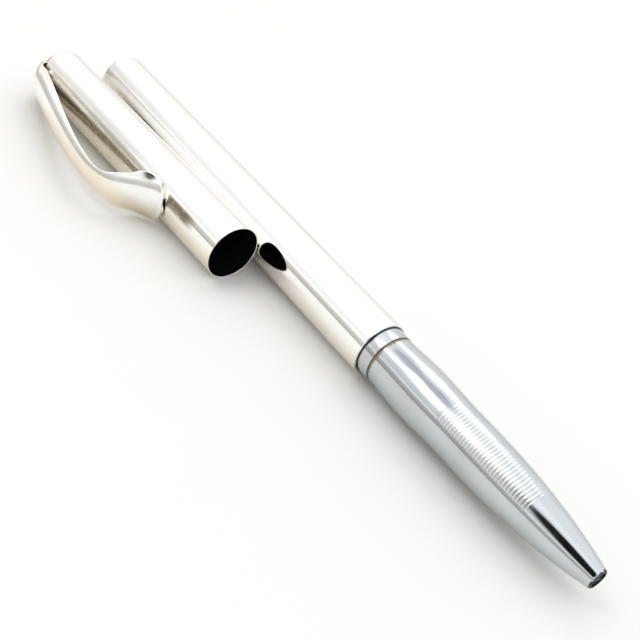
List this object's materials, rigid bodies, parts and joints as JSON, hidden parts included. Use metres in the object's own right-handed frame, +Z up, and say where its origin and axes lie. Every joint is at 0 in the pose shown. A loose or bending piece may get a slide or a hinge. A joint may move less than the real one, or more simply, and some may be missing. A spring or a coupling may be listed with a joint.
{
  "type": "rollerball pen",
  "caption": "Slim metal rollerball pen lying uncapped beside its cap, with grooved writing section, sprung refill and a bowed clip ending in a broad tongue.",
  "frame": {"origin": "centre of the flat tail face of the barrel", "axes": "+X along the pen axis towards the nose, +Z up"},
  "size_m": [0.1351, 0.0289, 0.01],
  "materials": {
    "silver": "polished, lightly tarnished",
    "brass": "turned",
    "black_ring": "gloss",
    "grey_plastic": "moulded",
    "black_plastic": "moulded",
    "white_plastic": "moulded",
    "refill_metal": "drawn tube",
    "nickel": "turned",
    "carbide": "ground",
    "ink": "liquid",
    "feed_fibre": "soaked fibre",
    "spring_steel": "drawn wire",
    "soft_seal": "soft"
  },
  "bodies": {
    "front": {"grip_section": "silver", "section_collar": "silver", "seal_ring": "black_ring", "section_thread_sleeve": "brass", "front_bush": "grey_plastic"},
    "refill": {"refill_tube": "refill_metal", "refill_nose_cone": "black_plastic", "refill_tip": "nickel", "refill_end_plug": "white_plastic", "ink_reservoir": "ink", "ink_feed": "feed_fibre"},
    "ball": {"refill_ball": "carbide"},
    "cup": {"spring_cup": "grey_plastic"},
    "spring": {"refill_spring": "spring_steel"},
    "barrel": {"barrel_shell": "silver", "barrel_end_cap": "silver", "barrel_lining": "brass", "barrel_thread_bush": "brass", "tail_plug": "grey_plastic"},
    "ring": {"centring_ring": "grey_plastic"},
    "cap": {"cap_shell": "silver", "cap_crown": "silver", "cap_liner": "black_plastic", "cap_clutch_ring": "black_plastic", "cap_tip_seal": "soft_seal", "cap_screw": "brass", "clip_pin": "brass"},
    "clip": {"clip": "silver"}
  },
  "joints": [
    {"name": "barrel_pull_off", "type": "slide", "parent": "front", "child": "cup", "axis": [-1, 0, 0], "range_m": [0, 0.09]},
    {"name": "unscrew_travel", "type": "slide", "parent": "cup", "child": "spring", "axis": [-1, 0, 0], "range_m": [0, 0.0045], "deforming": ["refill_spring"]},
    {"name": "barrel_turn", "type": "hinge", "parent": "spring", "child": "barrel", "pos_m": [0, 0, 0], "axis": [-1, 0, 0], "range_deg": [0, 1080.5]},
    {"name": "cap_push", "type": "slide", "parent": "front", "child": "ring", "axis": [-1, 0, 0], "range_m": [0, 0.0467]},
    {"name": "cap_turn", "type": "hinge", "parent": "ring", "child": "cap", "pos_m": [0.0947, -0.00434, 0], "axis": [0, 0, 1], "range_deg": [0, 177.8]},
    {"name": "clip_flex", "type": "hinge", "parent": "cap", "child": "clip", "pos_m": [-0.00349, -0.01165, 0], "axis": [0, 0.0175, -0.9998], "range_deg": [0, 2.5], "stiffness_Nm_per_rad": 0.5},
    {"name": "refill_slide", "type": "slide", "parent": "front", "child": "refill", "axis": [1, 0, 0], "range_m": [0, 0.002]},
    {"name": "ball_roll", "type": "hinge", "parent": "refill", "child": "ball", "pos_m": [0.13025, 0, 0], "axis": [0, 1, 0], "continuous": true}
  ],
  "couplings": [
    {"joint": "barrel_turn", "follows": "unscrew_travel", "rad_per_m": 4188.8}
  ]
}
